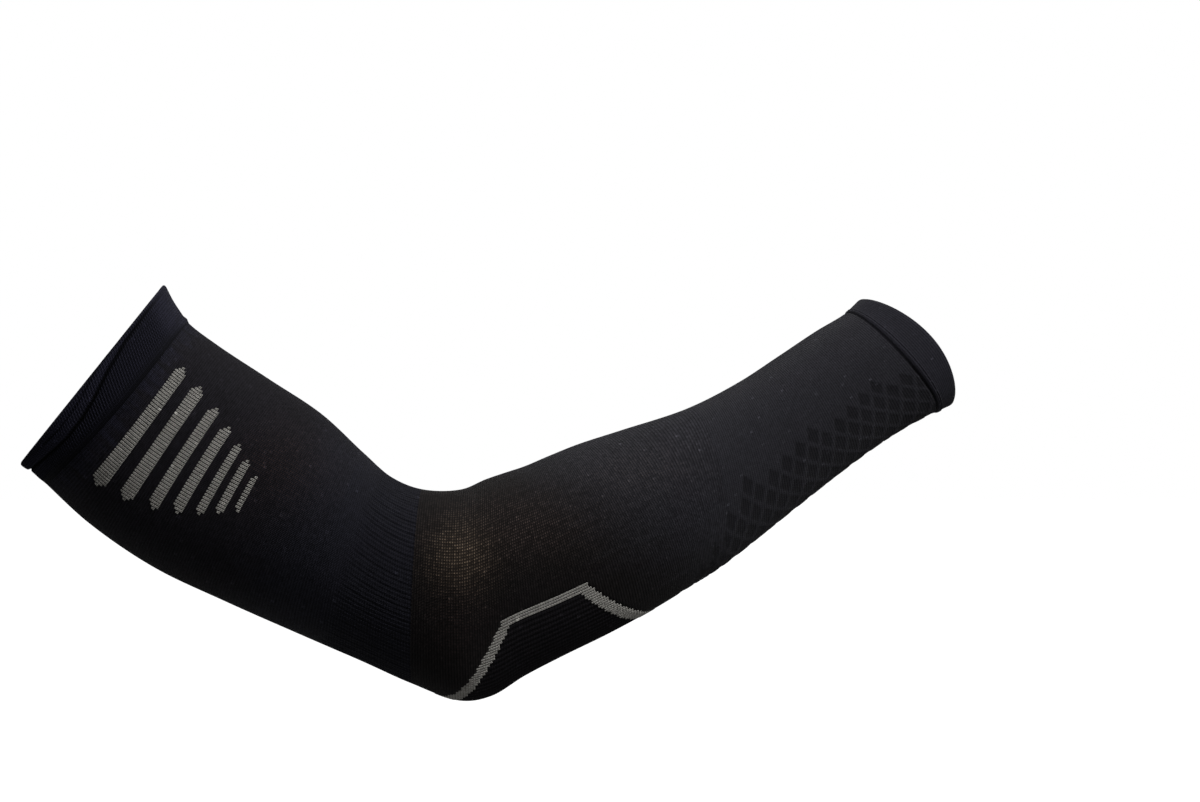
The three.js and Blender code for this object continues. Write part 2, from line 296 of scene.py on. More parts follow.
def make_mesh(name, points, quads, places, cavity_shade, flat=None):
    """An object from points, quads, the stitch place of each quad's corners and depths for painted
    shade.
    """
    mesh = bpy.data.meshes.new(name)
    mesh.vertices.add(len(points))
    mesh.vertices.foreach_set("co", np.ascontiguousarray(points, np.float32).ravel())
    mesh.loops.add(quads.size)
    mesh.loops.foreach_set("vertex_index", quads.astype(np.int32).ravel())
    mesh.polygons.add(len(quads))
    mesh.polygons.foreach_set("loop_start", np.arange(0, quads.size, QUAD, dtype=np.int32))
    layer = mesh.uv_layers.new(name=STITCH_MAP)
    layer.uv.foreach_set("vector", np.ascontiguousarray(places, np.float32).ravel())
    # Each point's depth in the relief, by which the materials darken the colour as painted shade.
    depths = mesh.attributes.new(CAVITY_SHADE, "FLOAT", "POINT")
    depths.data.foreach_set("value", np.ascontiguousarray(cavity_shade, np.float32).ravel())
    smooth = np.full(len(quads), True) if flat is None else ~flat
    mesh.polygons.foreach_set("use_smooth", smooth)
    mesh.update(calc_edges=True)
    mesh.validate()
    piece = bpy.data.objects.new(name, mesh)
    bpy.context.scene.collection.objects.link(piece)
    print(name, "faces:", len(mesh.polygons))
    return piece


print("each mesh gets a map named", STITCH_MAP, "and depths named", CAVITY_SHADE)

# %% Make a closed tube
EDGE_TURN = np.linspace(-math.pi / 2, math.pi / 2, 7)[1:-1]
END_RING = 0.02 * MM
INSIDE_ROWS = 8


def tube_rows(
    first, last, count, lift, wall, inner_count=INSIDE_ROWS, round_first=False, round_last=False,
):
    """Stations and heights of a loop of rows. A free edge of the knit is rounded over."""
    radius = wall / 2
    first_row, last_row = first + radius * round_first, last - radius * round_last
    end_rings = [first_row + END_RING, last_row - END_RING]
    outside_rows = np.sort(np.append(np.linspace(first_row, last_row, count), end_rings))
    stations = [outside_rows]
    heights = [np.full(len(outside_rows), lift)]
    if round_last:
        stations.append(last_row + radius * np.cos(EDGE_TURN))
        heights.append(lift - radius - radius * np.sin(EDGE_TURN))
    stations.append(np.linspace(last_row, first_row, inner_count))
    heights.append(np.full(inner_count, lift - wall))
    if round_first:
        stations.append(first_row - radius * np.cos(EDGE_TURN))
        heights.append(lift - radius + radius * np.sin(EDGE_TURN))
    return np.concatenate(stations), np.concatenate(heights)


WALL_STEP = 0.8


def no_shade(station, share):
    return np.zeros(station.shape)


def knit_tube(name, rows, columns, relief, deepest, shade=no_shade):
    """A tube from a closed loop of rows. The relief shows outside and is flat inside."""
    stations, heights = rows
    count = len(stations)
    station = np.repeat(stations[:, None], columns, 1)
    share = np.repeat((np.arange(columns) / columns)[None, :], count, 0)
    outside = (heights - heights.min()) / (heights.max() - heights.min())
    raised = outside[:, None] * relief(station, share)
    points = knit_point(station, share, heights[:, None] + raised).reshape(-1, 3)
    # Painted shade: deeper points of the relief, and the cuff's roll, get a darker colour.
    cavity_shade = np.clip(-raised / deepest + outside[:, None] * shade(station, share), 0, 1)
    r, c = np.meshgrid(np.arange(count), np.arange(columns), indexing="ij")
    r2, c2 = (r + 1) % count, (c + 1) % columns
    quads = np.stack([r * columns + c, r2 * columns + c, r2 * columns + c2, r * columns + c2], -1)
    course = course_at(stations)
    wale = np.arange(columns + 1) / columns * WALES
    corner_wale = np.stack([wale[c], wale[c], wale[c + 1], wale[c + 1]], -1)
    corner_course = np.stack([course[r], course[r2], course[r2], course[r]], -1)
    places = np.stack([corner_wale, corner_course], -1)
    end_wall = np.abs(np.roll(outside, -1) - outside) > WALL_STEP
    flat = np.repeat(end_wall, columns)
    return make_mesh(name, points, quads.reshape(-1, 4), places.reshape(-1, 2), cavity_shade, flat)


print("a free edge is rounded over in", len(EDGE_TURN), "rows")

# %% Make a shell over chosen stitches
def stitch_grid(first_course, last_course):
    """Row and column numbers of the stitches between two courses."""
    return np.meshgrid(np.arange(last_course - first_course), np.arange(WALES), indexing="ij")


def knit_shell(name, first_course, last_course, chosen, split, relief, wall, deepest=1.0):
    """A shell over the stitches that chosen(course, wale) picks, split times finer."""
    end_rings = [first_course + END_RING / COURSE_PITCH, last_course - END_RING / COURSE_PITCH]
    courses = np.arange(first_course * split, last_course * split + 1) / split
    courses = np.sort(np.append(courses, end_rings))
    columns = WALES * split
    rows = len(courses) - 1
    share = np.repeat((np.arange(columns) / columns)[None, :], rows + 1, 0)
    station = np.repeat(station_at(courses)[:, None], columns, 1)
    raised = relief(station, share)
    top = knit_point(station, share, raised)
    bottom = knit_point(station, share, np.full(share.shape, -wall))
    points = np.concatenate([top.reshape(-1, 3), bottom.reshape(-1, 3)])
    # Painted shade in the lattice's sunk cells.
    cavity_shade = np.concatenate([np.clip(-raised / deepest, 0, 1).ravel(), np.zeros(share.size)])
    r, c = np.meshgrid(np.arange(rows), np.arange(columns), indexing="ij")
    kept = chosen(np.floor(courses[:-1] + 1e-6)[:, None] + 0.5, np.floor(c / split) + 0.5)
    below = (rows + 1) * columns

    def corner(row, column):
        return row * columns + column % columns

    quads, wales, course_marks = [], [], []

    def add(mask, corners, sunk):
        rr, cc = r[mask], c[mask]
        quads.append(np.stack([
            corner(rr + dr, cc + dc) + below * low for (dr, dc), low in zip(corners, sunk)
        ], -1))
        wales.append(np.stack([(cc + dc) / split for dr, dc in corners], -1))
        course_marks.append(np.stack([courses[rr + dr] for dr, dc in corners], -1))

    add(kept, [(0, 0), (1, 0), (1, 1), (0, 1)], (0, 0, 0, 0))
    add(kept, [(0, 0), (0, 1), (1, 1), (1, 0)], (1, 1, 1, 1))
    none = np.zeros((1, columns), bool)
    before = np.concatenate([none, kept[:-1]])
    after = np.concatenate([kept[1:], none])
    add(kept & ~before, [(0, 0), (0, 1), (0, 1), (0, 0)], (0, 0, 1, 1))
    add(kept & ~after, [(1, 1), (1, 0), (1, 0), (1, 1)], (0, 0, 1, 1))
    add(kept & ~np.roll(kept, 1, 1), [(1, 0), (0, 0), (0, 0), (1, 0)], (0, 0, 1, 1))
    add(kept & ~np.roll(kept, -1, 1), [(0, 1), (1, 1), (1, 1), (0, 1)], (0, 0, 1, 1))
    flat = np.arange(sum(map(len, quads))) >= 2 * len(quads[0])
    used, quads = np.unique(np.concatenate(quads), return_inverse=True)
    places = np.stack([np.concatenate(wales), np.concatenate(course_marks)], -1)
    quads, places = quads.reshape(-1, 4), places.reshape(-1, 2)
    return make_mesh(name, points[used], quads, places, cavity_shade[used], flat)


print("stitches on the whole sleeve:", stitch_grid(0, round(float(COURSE_OF_STATION[-1])))[0].size)

# %% [markdown]
# Grey yarn stands out against the black, so its stitches are seen one by one. Each stitch is a
# V of two plump legs. A leg is a short tube of four rings, and we place all legs at once.

# %% Make V-shaped stitches
LEG_STEPS = np.array([0.0, 0.33, 0.67, 1.0])
LEG_SWELL = np.array([0.55, 1.0, 1.0, 0.55])
LEG_SIDES = 6
LEG_WIDTH = 0.155
LEG_HEIGHT = 0.24 * MM
LEG_FOOT, LEG_SPREAD = 0.06, 0.22
LEG_START, LEG_LENGTH, LEG_TILT = -0.1, 1.15, 0.12


def leg_template():
    """Wale, course and height of one leg's points, from the foot of its stitch, and its quads."""
    around = np.arange(LEG_SIDES) * 2 * math.pi / LEG_SIDES
    step, swell = LEG_STEPS[:, None], LEG_SWELL[:, None]
    wale = LEG_FOOT + LEG_SPREAD * step + LEG_WIDTH * swell * np.cos(around)
    course = LEG_START + LEG_LENGTH * step - LEG_TILT * np.cos(around)
    height = LEG_HEIGHT * swell * np.sin(around)
    quads = []
    for ring in range(len(LEG_STEPS) - 1):
        for side in range(LEG_SIDES):
            here, beside = ring * LEG_SIDES + side, ring * LEG_SIDES + (side + 1) % LEG_SIDES
            quads.append([here, beside, beside + LEG_SIDES, here + LEG_SIDES])
    top = (len(LEG_STEPS) - 1) * LEG_SIDES
    quads += [[3, 2, 1, 0], [5, 4, 3, 0]]
    quads += [[top, top + 1, top + 2, top + 3], [top, top + 3, top + 4, top + 5]]
    return wale.ravel(), course.ravel(), height.ravel(), np.array(quads)


def v_stitches(name, course, wale, lift):
    """V-shaped stitches whose feet are at the given courses and wales."""
    leg_wale, leg_course, leg_height, leg_quads = leg_template()
    wales, courses, quads = [], [], []
    size = len(leg_wale)
    for sign in (1, -1):
        wales.append(wale[:, None] + 0.5 + sign * leg_wale)
        courses.append(course[:, None] + leg_course)
        quads.append(leg_quads if sign > 0 else leg_quads[:, ::-1])
    wales, courses = np.concatenate(wales), np.concatenate(courses)
    starts = np.arange(len(wales)) * size
    half = len(course)
    faces = np.concatenate([
        (starts[:half, None, None] + quads[0]).reshape(-1, 4),
        (starts[half:, None, None] + quads[1]).reshape(-1, 4),
    ])
    heights = np.broadcast_to(lift + leg_height, wales.shape)
    points = knit_point(station_at(courses), wales / WALES, heights).reshape(-1, 3)
    places = np.stack([wales.ravel()[faces], courses.ravel()[faces]], -1)
    return make_mesh(name, points, faces, places.reshape(-1, 2), np.zeros(len(points)))


def join_pieces(first, *others):
    """Adds the meshes of the others to the first one."""
    with bpy.context.temp_override(
        active_object=first, selected_editable_objects=[first, *others],
    ):
        bpy.ops.object.join()
    return first


print("a leg has", len(leg_template()[3]), "faces")

# %% [markdown]
# ## Surface effects
# All the knits share a few effects, so each is a node group that gives a colour mask or a
# height and leaves the shader to the material. The first draws the V-shaped stitches from the
# wale and course of a point.

# %% Node helpers
def new_group(name, inputs, outputs):
    group = bpy.data.node_groups.new(name, "ShaderNodeTree")
    for label, kind, value in inputs:
        socket = group.interface.new_socket(label, in_out="INPUT", socket_type=kind)
        if value is not None:
            socket.default_value = value
    for label, kind in outputs:
        group.interface.new_socket(label, in_out="OUTPUT", socket_type=kind)
    start = group.nodes.new("NodeGroupInput")
    end = group.nodes.new("NodeGroupOutput")
    return group, start, end


def wired(tree, source, target):
    """Links a socket, or sets a plain value, on the target socket."""
    if hasattr(source, "is_output"):
        tree.links.new(source, target)
    else:
        target.default_value = source


def math_node(tree, operation, *values):
    node = tree.nodes.new("ShaderNodeMath")
    node.operation = operation
    for socket, value in zip(node.inputs, values):
        wired(tree, value, socket)
    return node.outputs[0]


def vector_node(tree, operation, *values):
    node = tree.nodes.new("ShaderNodeVectorMath")
    node.operation = operation
    for socket, value in zip(node.inputs, values):
        wired(tree, value, socket)
    return node.outputs["Value" if operation in ("LENGTH", "DOT_PRODUCT") else "Vector"]


def mix_colour(tree, share, first, second):
    node = tree.nodes.new("ShaderNodeMix")
    node.data_type = "RGBA"
    wired(tree, share, node.inputs["Factor"])
    wired(tree, first, node.inputs["A"])
    wired(tree, second, node.inputs["B"])
    return node.outputs["Result"]


def ramp_node(tree, value, low, high):
    """Rises smoothly from 0 at low to 1 at high."""
    node = tree.nodes.new("ShaderNodeMapRange")
    node.interpolation_type = "SMOOTHSTEP"
    for socket, number in zip(node.inputs, (value, low, high, 0.0, 1.0)):
        wired(tree, number, socket)
    return node.outputs["Result"]


def group_node(tree, group, **values):
    node = tree.nodes.new("ShaderNodeGroup")
    node.node_tree = group
    for label, value in values.items():
        wired(tree, value, node.inputs[label.replace("_", " ")])
    return node


def scaled(tree, colour, factor):
    node = tree.nodes.new("ShaderNodeVectorMath")
    node.operation = "SCALE"
    if hasattr(colour, "is_output"):
        tree.links.new(colour, node.inputs[0])
    else:
        node.inputs[0].default_value = colour[:3]
    wired(tree, factor, node.inputs["Scale"])
    return node.outputs["Vector"]


def stitch_place(tree):
    node = tree.nodes.new("ShaderNodeUVMap")
    node.uv_map = STITCH_MAP
    return node.outputs["UV"]


print("node helpers ready")

# %% Stitches from wale and course
LEG_ROUNDNESS = 0.6
GAP_SHARPNESS = 3.0
HOLE_SHARPNESS = 2.5
STITCHES, start, end = new_group(
    "Knit stitches",
    [("Stitch place", "NodeSocketVector", None), ("Lean", "NodeSocketFloat", 0.8)],
    [("Height", "NodeSocketFloat"), ("Gap", "NodeSocketFloat"), ("Hole", "NodeSocketFloat")],
)
tree = STITCHES
split_place = tree.nodes.new("ShaderNodeSeparateXYZ")
tree.links.new(start.outputs["Stitch place"], split_place.inputs[0])
wale_part = math_node(tree, "FRACT", split_place.outputs["X"])
from_middle = math_node(tree, "ABSOLUTE", math_node(tree, "SUBTRACT", wale_part, 0.5))
leaned = math_node(
    tree, "ADD", split_place.outputs["Y"],
    math_node(tree, "MULTIPLY", from_middle, start.outputs["Lean"]),
)
leg_wave = math_node(tree, "SINE", math_node(tree, "MULTIPLY", leaned, 2 * math.pi))
column_wave = math_node(tree, "COSINE", math_node(tree, "MULTIPLY", from_middle, 4 * math.pi))
leg = math_node(tree, "MULTIPLY_ADD", leg_wave, 0.5, 0.5)
column = math_node(tree, "MULTIPLY_ADD", column_wave, -0.5, 0.5)
height = math_node(tree, "MULTIPLY", math_node(tree, "POWER", leg, LEG_ROUNDNESS), column)
tree.links.new(height, end.inputs["Height"])
# Gap marks the spaces between stitch legs, which the materials darken as painted shade.
gap = math_node(tree, "SUBTRACT", 1.0, height)
tree.links.new(math_node(tree, "POWER", gap, GAP_SHARPNESS), end.inputs["Gap"])
wale_wave = math_node(
    tree, "MULTIPLY_ADD",
    math_node(tree, "COSINE", math_node(tree, "MULTIPLY", from_middle, 2 * math.pi)), 0.5, 0.5,
)
opening = math_node(tree, "MULTIPLY", wale_wave, leg)
hole = math_node(tree, "POWER", opening, HOLE_SHARPNESS)
tree.links.new(hole, end.inputs["Hole"])
print("group:", STITCHES.name)

# %% [markdown]
# Dyed yarn is never one even tone. This group drifts slowly over the cloth, changes a little
# from stitch to stitch, and now and then lets one stitch catch the light. It also gives a fine
# fuzz for the roughness, and streaks that run along the wales.

# %% Cloudy tone of dyed yarn
CLOUD_SCALE = 60.0
SPECK_RARITY, SPECK_LIGHT = 250.0, 1.4
FUZZ_SCALE = 2500.0
STREAK_STRETCH = (0.45, 0.03, 1.0)
YARN_TONE, start, end = new_group(
    "Yarn tone",
    [
        ("Scale", "NodeSocketFloat", CLOUD_SCALE), ("Amount", "NodeSocketFloat", 0.3),
        ("Uneven", "NodeSocketFloat", 0.5),
    ],
    [
        ("Tone", "NodeSocketFloat"), ("Fuzz", "NodeSocketFloat"),
        ("Streak", "NodeSocketFloat"), ("Chance", "NodeSocketFloat"),
    ],
)
tree = YARN_TONE
where = tree.nodes.new("ShaderNodeTexCoord")
cloud = tree.nodes.new("ShaderNodeTexNoise")
cloud.inputs["Detail"].default_value = 4.0
tree.links.new(where.outputs["Object"], cloud.inputs["Vector"])
tree.links.new(start.outputs["Scale"], cloud.inputs["Scale"])
swing_of_tone = math_node(
    tree, "MULTIPLY", math_node(tree, "SUBTRACT", cloud.outputs["Fac"], 0.5),
    start.outputs["Amount"],
)
one_stitch = tree.nodes.new("ShaderNodeTexWhiteNoise")
one_stitch.noise_dimensions = "2D"
tree.links.new(vector_node(tree, "FLOOR", stitch_place(tree)), one_stitch.inputs["Vector"])
tree.links.new(one_stitch.outputs["Value"], end.inputs["Chance"])
off_mean = math_node(tree, "SUBTRACT", one_stitch.outputs["Value"], 0.5)
stitch_tone = math_node(tree, "MULTIPLY_ADD", off_mean, start.outputs["Uneven"], 1.0)
speck = math_node(
    tree, "MULTIPLY",
    math_node(tree, "POWER", one_stitch.outputs["Value"], SPECK_RARITY), SPECK_LIGHT,
)
tone = math_node(
    tree, "MULTIPLY", math_node(tree, "ADD", swing_of_tone, 1.0),
    math_node(tree, "ADD", stitch_tone, speck),
)
tree.links.new(tone, end.inputs["Tone"])
fuzz = tree.nodes.new("ShaderNodeTexNoise")
fuzz.inputs["Scale"].default_value = FUZZ_SCALE
fuzz.inputs["Detail"].default_value = 2.0
tree.links.new(where.outputs["Object"], fuzz.inputs["Vector"])
tree.links.new(fuzz.outputs["Fac"], end.inputs["Fuzz"])
streaks = tree.nodes.new("ShaderNodeTexNoise")
streaks.inputs["Scale"].default_value = 1.0
streaks.inputs["Detail"].default_value = 2.0
along_wales = vector_node(tree, "MULTIPLY", stitch_place(tree), STREAK_STRETCH)
tree.links.new(along_wales, streaks.inputs["Vector"])
tree.links.new(streaks.outputs["Fac"], end.inputs["Streak"])
print("group:", YARN_TONE.name)

# %% [markdown]
# Where the knit is thinnest its yarn looks warm and lets light in. The glow group marks such a
# place: it is 1 in its middle and fades out over a reach that can differ along each axis. The
# streaks break it up along the wales, as real tension does.

# %% A thin, warm place
STREAK_LEAST, STREAK_SPREAD = 0.4, 1.2
GLOW, start, end = new_group(
    "Thin place",
    [
        ("Stitch place", "NodeSocketVector", None),
        ("Middle", "NodeSocketVector", (0, 0, 0)),
        ("Reach", "NodeSocketVector", (1, 1, 1)),
    ],
    [("Glow", "NodeSocketFloat")],
)
tree = GLOW
where = tree.nodes.new("ShaderNodeTexCoord")
off = vector_node(tree, "SUBTRACT", where.outputs["Object"], start.outputs["Middle"])
far = vector_node(tree, "LENGTH", vector_node(tree, "DIVIDE", off, start.outputs["Reach"]))
bell = math_node(
    tree, "EXPONENT", math_node(tree, "MULTIPLY", math_node(tree, "POWER", far, 2.0), -1.0)
)
streaks = tree.nodes.new("ShaderNodeTexNoise")
streaks.inputs["Scale"].default_value = 1.0
streaks.inputs["Detail"].default_value = 2.0
stretched = vector_node(tree, "MULTIPLY", start.outputs["Stitch place"], STREAK_STRETCH)
tree.links.new(stretched, streaks.inputs["Vector"])
streak = math_node(tree, "MULTIPLY_ADD", streaks.outputs["Fac"], STREAK_SPREAD, STREAK_LEAST)
tree.links.new(math_node(tree, "MULTIPLY", bell, streak), end.inputs["Glow"])
print("group:", GLOW.name)

# %% [markdown]
# A knit material then needs only its own colours and depths. The gaps between stitches get
# painted shade, and so does each point by how deep it lies in the relief. The tone drifts a
# little, and a soft sheen lights the edges, as nylon and elastane do under a soft lamp.

# %% A material for a knit
RUN_SWING = 30.0
YARN_TOP, GAP_SHADE = 1.15, -0.9
SPOT_LEAST, SPOT_SPREAD, SPOT_VEIL = 0.3, 1.3, 0.08
FUZZ_ROUGHNESS = 0.12
FUZZ_HEIGHT = 0.3
BUMP_STRENGTH = 0.7
KNIT_SPECULAR = 0.05
SHEEN_ROUGHNESS = 0.4


def knit_material(name, colour, depth, sheen, roughness=0.8, lean=0.9, tone=0.35, cavity_shade=0.8,
                  glows=(), runs=(), uneven=0.5):
    """glows lists (middle, reach, colour), and runs (first course, last, lean, colour)."""
    material = bpy.data.materials.new(name)
    material.use_nodes = True
    tree = material.node_tree
    shader = tree.nodes["Principled BSDF"]
    place = stitch_place(tree)
    stitches = group_node(tree, STITCHES, Stitch_place=place, Lean=lean)
    tones = group_node(tree, YARN_TONE, Scale=CLOUD_SCALE, Amount=tone, Uneven=uneven)
    yarn = (*colour, 1)
    parts = tree.nodes.new("ShaderNodeSeparateXYZ")
    tree.links.new(place, parts.inputs[0])
    from_back = math_node(tree, "PINGPONG", parts.outputs["X"], WALES / 2)
    moved = math_node(tree, "MULTIPLY_ADD", tones.outputs["Streak"], RUN_SWING, parts.outputs["Y"])
    for first, last, lean_of_run, next_colour in runs:
        leaned = math_node(tree, "MULTIPLY_ADD", from_back, lean_of_run, moved)
        share = ramp_node(tree, leaned, first + RUN_SWING / 2, last + RUN_SWING / 2)
        yarn = mix_colour(tree, share, yarn, (*next_colour, 1))
    # Painted shade: the gaps between stitches are darker than the yarn.
    gap_light = math_node(
        tree, "MULTIPLY_ADD", stitches.outputs["Gap"], GAP_SHADE, YARN_TOP
    )
    yarn = scaled(tree, yarn, gap_light)
    for middle, reach, warm in glows:
        thin = group_node(tree, GLOW, Stitch_place=place, Middle=middle, Reach=reach)
        bright = math_node(
            tree, "MULTIPLY_ADD", tones.outputs["Chance"], SPOT_SPREAD, SPOT_LEAST
        )
        spots = math_node(tree, "MULTIPLY", stitches.outputs["Hole"], bright)
        spots = math_node(tree, "ADD", spots, SPOT_VEIL)
        share = math_node(tree, "MULTIPLY", thin.outputs["Glow"], spots)
        yarn = mix_colour(tree, share, yarn, (*warm, 1))
    # Painted shade: the colour darkens with the depth stored on each point.
    cavity_shades = tree.nodes.new("ShaderNodeAttribute")
    cavity_shades.attribute_name = CAVITY_SHADE
    light = math_node(tree, "MULTIPLY_ADD", cavity_shades.outputs["Fac"], -cavity_shade, 1.0)
    light = math_node(tree, "MULTIPLY", light, tones.outputs["Tone"])
    tree.links.new(scaled(tree, yarn, light), shader.inputs["Base Color"])
    least_rough = roughness - FUZZ_ROUGHNESS / 2
    rough = math_node(
        tree, "MULTIPLY_ADD", tones.outputs["Fuzz"], FUZZ_ROUGHNESS, least_rough
    )
    tree.links.new(rough, shader.inputs["Roughness"])
    bump = tree.nodes.new("ShaderNodeBump")
    bump.inputs["Strength"].default_value = BUMP_STRENGTH
    bump.inputs["Distance"].default_value = depth
    relief = math_node(
        tree, "MULTIPLY_ADD", tones.outputs["Fuzz"], FUZZ_HEIGHT, stitches.outputs["Height"]
    )
    tree.links.new(relief, bump.inputs["Height"])
    tree.links.new(bump.outputs["Normal"], shader.inputs["Normal"])
    shader.inputs["Specular IOR Level"].default_value = KNIT_SPECULAR
    shader.inputs["Sheen Weight"].default_value = sheen
    shader.inputs["Sheen Roughness"].default_value = SHEEN_ROUGHNESS
    return material


print("a knit gets stitches, tone, glows and runs of colour")

# %% [markdown]
# The yarns are black with a touch of navy, and differ a little from zone to zone. Two zones
# that merge share a run of colour: it starts and ends at given courses, and leans across the
# wales. The thin places lie where the cloth is stretched most: one on the upper arm, and four
# round the side of the elbow.

# %% Yarns and the materials made of them
NAVY = (0.0165, 0.0163, 0.0275)
BLACK_NAVY = (0.0105, 0.0095, 0.0125)
RIB_NAVY = (0.0125, 0.0125, 0.0178)
MESH_BLACK = (0.0088, 0.0074, 0.0075)
FOREARM_NAVY = (0.0255, 0.025, 0.0305)
PATCH_BLACK = (0.0152, 0.0137, 0.0162)
WELT_NAVY = (0.0245, 0.024, 0.031)
MID_GREY = (0.35, 0.34, 0.315)
ARM_GLOWS = [((0.092, -0.04, -0.042), (0.022, 0.06, 0.02), (0.022, 0.013, 0.011))]
ELBOW_GLOWS = [
    ((0.198, -0.04, -0.068), (0.034, 0.06, 0.017), (0.05, 0.036, 0.032)),
    ((0.25, -0.04, -0.042), (0.035, 0.06, 0.015), (0.034, 0.0265, 0.0235)),
    ((0.17, -0.04, -0.1), (0.014, 0.06, 0.025), (0.022, 0.013, 0.012)),
    ((0.171, -0.04, -0.082), (0.013, 0.06, 0.014), (0.145, 0.108, 0.074)),
]
CUFF = knit_material("cuff rib knit", NAVY, 0.2 * MM, 0.02, cavity_shade=0.85, uneven=0.2)
PLAIN = knit_material(
    "plain knit", NAVY, 0.3 * MM, 0.03, glows=ARM_GLOWS,
    runs=[
        (whole_course("cuff_end") - 6, whole_course("cuff_end") + 10, 0.0, BLACK_NAVY),
        (whole_course("rib_start") - 38, whole_course("rib_start") - 8, 0.0, RIB_NAVY),
    ],
)
RIB = knit_material("elbow rib knit", RIB_NAVY, 0.25 * MM, 0.03, cavity_shade=0.4, uneven=0.3)
MESH_RUN = (whole_course("mesh_start") + 95, whole_course("mesh_start") + 155, 0.75, FOREARM_NAVY)
MESH = knit_material(
    "sheer mesh", MESH_BLACK, 0.4 * MM, 0.03, lean=0.1, glows=ELBOW_GLOWS, cavity_shade=0.4,
    runs=[MESH_RUN],
)
PAD = knit_material("patch rib knit", PATCH_BLACK, 0.3 * MM, 0.0, uneven=0.3)
GREY = knit_material("grey yarn", MID_GREY, 0.05 * MM, 0.03, tone=0.2, uneven=0.3)
FOREARM = knit_material(
    "forearm knit", MESH_BLACK, 0.3 * MM, 0.04, cavity_shade=0.4, uneven=0.25, runs=[MESH_RUN]
)
WELT = knit_material("wrist welt", WELT_NAVY, 0.12 * MM, 0.04, uneven=0.15)


def finish_piece(piece, material, slot, *nodes):
    """Gives a piece its material and its body, and hides the nodes that it stands for. The slot is
    not used.
    """
    if material not in piece.data.materials[:]:
        piece.data.materials.append(material)
    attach(piece, "root")
    if nodes:
        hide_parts(*nodes)


print("materials:", len(bpy.data.materials))

# %% [markdown]
# ## Cloth held by stretch
# A sleeve is knitted smaller than it is worn. In use, it is stretched round its girth by about a
# twelfth and hardly at all along it. For each zone we work out the size it had lying flat.

# %% Flat size of a zone
ROUND_STRETCH = 1.08


def flat_area(first_course, last_course, chosen=None):
    """Flat area of the chosen stitches, in square metres."""
    r, c = stitch_grid(first_course, last_course)
    kept = True if chosen is None else chosen(first_course + r + 0.5, c + 0.5)
    wale_pitch = girth_at(station_at(first_course + r + 0.5)) / WALES / ROUND_STRETCH
    return float((wale_pitch * COURSE_PITCH * kept).sum())


def declare_sheet(piece, first_course, last_course, rests_on, chosen=None, wales=WALES, **more):
    """Works out the flat area of the chosen stitches and of the whole width, but keeps neither."""
    area = flat_area(first_course, last_course, chosen)
    full = flat_area(first_course, last_course) * wales / WALES


CUFF_LAST, RIB_FIRST, MESH_FIRST, MESH_LAST, FOLD = (
    whole_course(name) for name in ("cuff_end", "rib_start", "mesh_start", "knit_start", "fold")
)
RIM_LAST = whole_course("wrist_rim")
print("zones start at courses:", 0, CUFF_LAST, RIB_FIRST, MESH_FIRST, MESH_LAST, FOLD)

# %% [markdown]
# ## The biceps cuff
# An elastic band in one-and-one rib: every wale stands up as a thin cord, slanting a little.
# Its edge is turned over into a roll, and a deep crease shows where the roll is sewn down. The
# crease wanders, because the roll is fuller at the sleeve's outer side.

# %% Biceps cuff
CUFF_LIFT = 0.5 * MM
CUFF_RIB = 0.5 * MM
CUFF_TWIST = 0.3
CUFF_FADE = 7 * MM
DASH_DEPTH = 0.4
SMOOTH_TIP = 0.06
FROM_FRONT = (0, 0.11, 0.17, 0.22, 0.26, 0.29, 0.33, 0.43, 0.5)
CREASE_PLACES = np.array([0.9, 1.4, 2.2, 4.5, 7.6, 9.2, 10.1, 7.1, 6.3]) * MM
CREASE_DEPTHS = np.array([0.0, 0.4, 0.8, 1.1, 1.3, 1.4, 1.4, 1.1, 0.9]) * MM
CREASE_WIDTH = 0.7 * MM
INNER_CREASE = 5.5 * MM
INNER_CREASE_END, INNER_CREASE_FADE = 0.34, 0.08
ROLL_HEIGHTS = np.array([0.0, 0.1, 0.2, 0.4, 0.6, 0.7, 0.8, 0.6, 0.5]) * MM
ROLL_SHADOW = 2.0 * MM
SHADE_START, SHADE_FADE = 0.27, 0.12
SHADE_DEPTH, SHADE_EDGE = 0.9, 1.5 * MM
END_BUMP = 0.7 * MM
BUMP_PLACE, BUMP_LENGTH, BUMP_ROUND = 2 * MM, 1.5 * MM, 0.06
FAINT_RIB = 0.12 * MM


def cuff_relief(station, share):
    course = course_at(station)
    from_rim = course * COURSE_PITCH
    from_end = (CUFF_LAST - course) * COURSE_PITCH
    from_front = np.abs(share - 0.5)
    ribs = 0.5 * (np.cos(2 * math.pi * (share * WALES + course * CUFF_TWIST)) - 1)
    near_end = smoothstep(1 - from_end / CUFF_FADE)
    dashes = 1 - DASH_DEPTH * near_end * (1 + np.cos(math.pi * course))
    strength = smoothstep(from_end / CUFF_FADE) * smoothstep(from_front / SMOOTH_TIP - 1)
    crease_at = np.interp(from_front, FROM_FRONT, CREASE_PLACES)
    crease_depth = np.interp(from_front, FROM_FRONT, CREASE_DEPTHS)
    crease = np.exp(-((from_rim - crease_at) / CREASE_WIDTH) ** 2)
    inner_crease = np.exp(-((from_rim - crease_at + INNER_CREASE) / CREASE_WIDTH) ** 2)
    faded = smoothstep((from_front - INNER_CREASE_END) / INNER_CREASE_FADE)
    inner_crease = inner_crease * (1 - faded)
    across_roll = 2 * from_rim / crease_at - 1
    roll = np.sqrt(np.clip(1 - across_roll ** 2, 0, 1))
    bump = np.exp(
        -((from_end - BUMP_PLACE) / BUMP_LENGTH) ** 2 - (from_front / BUMP_ROUND) ** 2
    )
    settled = CUFF_LIFT * (1 - smoothstep(from_end / CUFF_FADE))
    return (
        CUFF_RIB * ribs * strength * dashes + END_BUMP * bump - settled
        + np.interp(from_front, FROM_FRONT, ROLL_HEIGHTS) * roll
        - crease_depth * (crease + 0.5 * inner_crease)
    )


